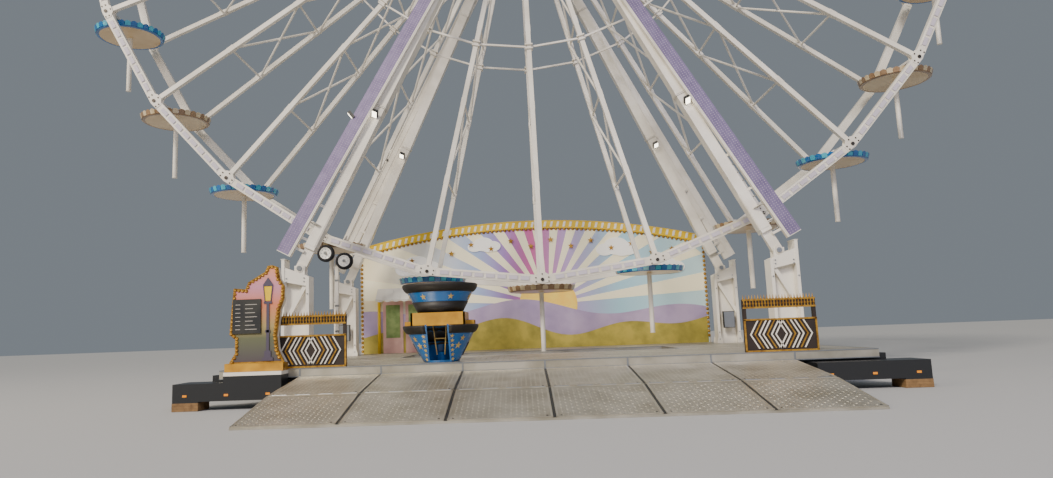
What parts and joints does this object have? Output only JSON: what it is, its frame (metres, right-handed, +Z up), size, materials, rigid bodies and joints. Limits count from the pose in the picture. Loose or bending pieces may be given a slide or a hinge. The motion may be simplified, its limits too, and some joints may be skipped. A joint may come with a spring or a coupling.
{
  "type": "ferris wheel",
  "caption": "Travelling fairground ferris wheel on four lattice legs, with round-roofed hanging cabins, an aluminium deck and ramp, an arched backdrop and a cut-out sign.",
  "frame": {"origin": "middle of the ground pad under the hub, on the ground", "axes": "+Z up, +X to the right of a visitor facing the ride, +Y from the ramp to the backdrop; the wheel's axle lies along Y"},
  "size_m": [31.9384, 15.35, 33.2998],
  "materials": {
    "cream_paint": "semi gloss",
    "lilac_paint": "matte",
    "roof_blue": "gloss",
    "roof_tan": "gloss",
    "tub_blue": "gloss",
    "bearing_steel": "satin",
    "chassis_paint": "matte",
    "deck_aluminium": "chequered, worn",
    "ornament_paint": "satin",
    "backdrop_paint": "satin",
    "tyre_rubber": "matte"
  },
  "bodies": {
    "base": {"leg_front_left": "cream_paint", "leg_front_right": "cream_paint", "leg_rear_left": "cream_paint", "leg_rear_right": "cream_paint", "light_panel_front_left": "lilac_paint", "light_panel_front_right": "lilac_paint", "light_panel_rear_left": "lilac_paint", "light_panel_rear_right": "lilac_paint", "axle_and_bearing_heads": "bearing_steel", "base_frame": "chassis_paint", "deck": "deck_aluminium", "ramp": "deck_aluminium", "tub_stack": "tub_blue", "fence_left": "ornament_paint", "fence_right": "ornament_paint", "backdrop": "backdrop_paint", "sign_board": "ornament_paint", "drive_stand": "cream_paint"},
    "wheel": {"hub_barrel": "cream_paint", "wheel_sector_1": "cream_paint", "wheel_sector_2": "cream_paint", "wheel_sector_3": "cream_paint", "wheel_sector_4": "cream_paint", "wheel_sector_5": "cream_paint", "wheel_sector_6": "cream_paint", "wheel_sector_7": "cream_paint", "wheel_sector_8": "cream_paint", "wheel_sector_9": "cream_paint", "wheel_sector_10": "cream_paint", "wheel_sector_11": "cream_paint", "wheel_sector_12": "cream_paint", "wheel_sector_13": "cream_paint"},
    "cabin_01": {"cabin_01": "roof_blue"},
    "cabin_02": {"cabin_02": "roof_tan"},
    "cabin_03": {"cabin_03": "roof_blue"},
    "cabin_04": {"cabin_04": "roof_tan"},
    "cabin_05": {"cabin_05": "roof_blue"},
    "cabin_06": {"cabin_06": "roof_tan"},
    "cabin_07": {"cabin_07": "roof_blue"},
    "cabin_08": {"cabin_08": "roof_tan"},
    "cabin_09": {"cabin_09": "roof_blue"},
    "cabin_10": {"cabin_10": "roof_tan"},
    "cabin_11": {"cabin_11": "roof_blue"},
    "cabin_12": {"cabin_12": "roof_tan"},
    "cabin_13": {"cabin_13": "roof_blue"},
    "cabin_14": {"cabin_14": "roof_tan"},
    "cabin_15": {"cabin_15": "roof_blue"},
    "cabin_16": {"cabin_16": "roof_tan"},
    "cabin_17": {"cabin_17": "roof_blue"},
    "cabin_18": {"cabin_18": "roof_tan"},
    "cabin_19": {"cabin_19": "roof_blue"},
    "cabin_20": {"cabin_20": "roof_tan"},
    "cabin_21": {"cabin_21": "roof_blue"},
    "cabin_22": {"cabin_22": "roof_tan"},
    "cabin_23": {"cabin_23": "roof_blue"},
    "cabin_24": {"cabin_24": "roof_tan"},
    "cabin_25": {"cabin_25": "roof_blue"},
    "cabin_26": {"cabin_26": "roof_tan"},
    "drive_tyre_1": {"drive_tyre_1": "tyre_rubber"},
    "drive_tyre_2": {"drive_tyre_2": "tyre_rubber"}
  },
  "joints": [
    {"name": "wheel_spin", "type": "hinge", "parent": "base", "child": "wheel", "pos_m": [0, 0, 18.17], "axis": [0, 1, 0], "continuous": true},
    {"name": "cabin_01_pivot", "type": "hinge", "parent": "wheel", "child": "cabin_01", "pos_m": [-13.9573, 0, 12.6751], "axis": [0, 1, 0], "continuous": true},
    {"name": "cabin_02_pivot", "type": "hinge", "parent": "wheel", "child": "cabin_02", "pos_m": [-12.23671, 0, 9.49458], "axis": [0, 1, 0], "continuous": true},
    {"name": "cabin_03_pivot", "type": "hinge", "parent": "wheel", "child": "cabin_03", "pos_m": [-9.80497, 0, 6.81823], "axis": [0, 1, 0], "continuous": true},
    {"name": "cabin_04_pivot", "type": "hinge", "parent": "wheel", "child": "cabin_04", "pos_m": [-6.8034, 0, 4.80161], "axis": [0, 1, 0], "continuous": true},
    {"name": "cabin_05_pivot", "type": "hinge", "parent": "wheel", "child": "cabin_05", "pos_m": [-3.40644, 0, 3.56191], "axis": [0, 1, 0], "continuous": true},
    {"name": "cabin_06_pivot", "type": "hinge", "parent": "wheel", "child": "cabin_06", "pos_m": [0.18849, 0, 3.17118], "axis": [0, 1, 0], "continuous": true},
    {"name": "cabin_07_pivot", "type": "hinge", "parent": "wheel", "child": "cabin_07", "pos_m": [3.77246, 0, 3.65213], "axis": [0, 1, 0], "continuous": true},
    {"name": "cabin_08_pivot", "type": "hinge", "parent": "wheel", "child": "cabin_08", "pos_m": [7.1372, 0, 4.9768], "axis": [0, 1, 0], "continuous": true},
    {"name": "cabin_09_pivot", "type": "hinge", "parent": "wheel", "child": "cabin_09", "pos_m": [10.08714, 0, 7.06822], "axis": [0, 1, 0], "continuous": true},
    {"name": "cabin_10_pivot", "type": "hinge", "parent": "wheel", "child": "cabin_10", "pos_m": [12.45086, 0, 9.80483], "axis": [0, 1, 0], "continuous": true},
    {"name": "cabin_11_pivot", "type": "hinge", "parent": "wheel", "child": "cabin_11", "pos_m": [14.09098, 0, 13.02759], "axis": [0, 1, 0], "continuous": true},
    {"name": "cabin_12_pivot", "type": "hinge", "parent": "wheel", "child": "cabin_12", "pos_m": [14.91218, 0, 16.54921], "axis": [0, 1, 0], "continuous": true},
    {"name": "cabin_13_pivot", "type": "hinge", "parent": "wheel", "child": "cabin_13", "pos_m": [14.86674, 0, 20.16502], "axis": [0, 1, 0], "continuous": true},
    {"name": "cabin_14_pivot", "type": "hinge", "parent": "wheel", "child": "cabin_14", "pos_m": [13.9573, 0, 23.6649], "axis": [0, 1, 0], "continuous": true},
    {"name": "cabin_15_pivot", "type": "hinge", "parent": "wheel", "child": "cabin_15", "pos_m": [12.23671, 0, 26.84542], "axis": [0, 1, 0], "continuous": true},
    {"name": "cabin_16_pivot", "type": "hinge", "parent": "wheel", "child": "cabin_16", "pos_m": [9.80497, 0, 29.52177], "axis": [0, 1, 0], "continuous": true},
    {"name": "cabin_17_pivot", "type": "hinge", "parent": "wheel", "child": "cabin_17", "pos_m": [6.8034, 0, 31.53839], "axis": [0, 1, 0], "continuous": true},
    {"name": "cabin_18_pivot", "type": "hinge", "parent": "wheel", "child": "cabin_18", "pos_m": [3.40644, 0, 32.77809], "axis": [0, 1, 0], "continuous": true},
    {"name": "cabin_19_pivot", "type": "hinge", "parent": "wheel", "child": "cabin_19", "pos_m": [-0.18849, 0, 33.16882], "axis": [0, 1, 0], "continuous": true},
    {"name": "cabin_20_pivot", "type": "hinge", "parent": "wheel", "child": "cabin_20", "pos_m": [-3.77246, 0, 32.68787], "axis": [0, 1, 0], "continuous": true},
    {"name": "cabin_21_pivot", "type": "hinge", "parent": "wheel", "child": "cabin_21", "pos_m": [-7.1372, 0, 31.3632], "axis": [0, 1, 0], "continuous": true},
    {"name": "cabin_22_pivot", "type": "hinge", "parent": "wheel", "child": "cabin_22", "pos_m": [-10.08714, 0, 29.27178], "axis": [0, 1, 0], "continuous": true},
    {"name": "cabin_23_pivot", "type": "hinge", "parent": "wheel", "child": "cabin_23", "pos_m": [-12.45086, 0, 26.53517], "axis": [0, 1, 0], "continuous": true},
    {"name": "cabin_24_pivot", "type": "hinge", "parent": "wheel", "child": "cabin_24", "pos_m": [-14.09098, 0, 23.31241], "axis": [0, 1, 0], "continuous": true},
    {"name": "cabin_25_pivot", "type": "hinge", "parent": "wheel", "child": "cabin_25", "pos_m": [-14.91218, 0, 19.79079], "axis": [0, 1, 0], "continuous": true},
    {"name": "cabin_26_pivot", "type": "hinge", "parent": "wheel", "child": "cabin_26", "pos_m": [-14.86674, 0, 16.17498], "axis": [0, 1, 0], "continuous": true},
    {"name": "drive_tyre_1_spin", "type": "hinge", "parent": "base", "child": "drive_tyre_1", "pos_m": [-6.6073, -1.42, 4.25506], "axis": [0, 1, 0], "continuous": true},
    {"name": "drive_tyre_2_spin", "type": "hinge", "parent": "base", "child": "drive_tyre_2", "pos_m": [-6.0188, -1.42, 3.99058], "axis": [0, 1, 0], "continuous": true}
  ],
  "couplings": [
    {"joint": "cabin_01_pivot", "follows": "wheel_spin", "ratio": -1},
    {"joint": "cabin_02_pivot", "follows": "wheel_spin", "ratio": -1},
    {"joint": "cabin_03_pivot", "follows": "wheel_spin", "ratio": -1},
    {"joint": "cabin_04_pivot", "follows": "wheel_spin", "ratio": -1},
    {"joint": "cabin_05_pivot", "follows": "wheel_spin", "ratio": -1},
    {"joint": "cabin_06_pivot", "follows": "wheel_spin", "ratio": -1},
    {"joint": "cabin_07_pivot", "follows": "wheel_spin", "ratio": -1},
    {"joint": "cabin_08_pivot", "follows": "wheel_spin", "ratio": -1},
    {"joint": "cabin_09_pivot", "follows": "wheel_spin", "ratio": -1},
    {"joint": "cabin_10_pivot", "follows": "wheel_spin", "ratio": -1},
    {"joint": "cabin_11_pivot", "follows": "wheel_spin", "ratio": -1},
    {"joint": "cabin_12_pivot", "follows": "wheel_spin", "ratio": -1},
    {"joint": "cabin_13_pivot", "follows": "wheel_spin", "ratio": -1},
    {"joint": "cabin_14_pivot", "follows": "wheel_spin", "ratio": -1},
    {"joint": "cabin_15_pivot", "follows": "wheel_spin", "ratio": -1},
    {"joint": "cabin_16_pivot", "follows": "wheel_spin", "ratio": -1},
    {"joint": "cabin_17_pivot", "follows": "wheel_spin", "ratio": -1},
    {"joint": "cabin_18_pivot", "follows": "wheel_spin", "ratio": -1},
    {"joint": "cabin_19_pivot", "follows": "wheel_spin", "ratio": -1},
    {"joint": "cabin_20_pivot", "follows": "wheel_spin", "ratio": -1},
    {"joint": "cabin_21_pivot", "follows": "wheel_spin", "ratio": -1},
    {"joint": "cabin_22_pivot", "follows": "wheel_spin", "ratio": -1},
    {"joint": "cabin_23_pivot", "follows": "wheel_spin", "ratio": -1},
    {"joint": "cabin_24_pivot", "follows": "wheel_spin", "ratio": -1},
    {"joint": "cabin_25_pivot", "follows": "wheel_spin", "ratio": -1},
    {"joint": "cabin_26_pivot", "follows": "wheel_spin", "ratio": -1},
    {"joint": "drive_tyre_1_spin", "follows": "wheel_spin", "ratio": -57.128},
    {"joint": "drive_tyre_2_spin", "follows": "wheel_spin", "ratio": -57.128}
  ]
}
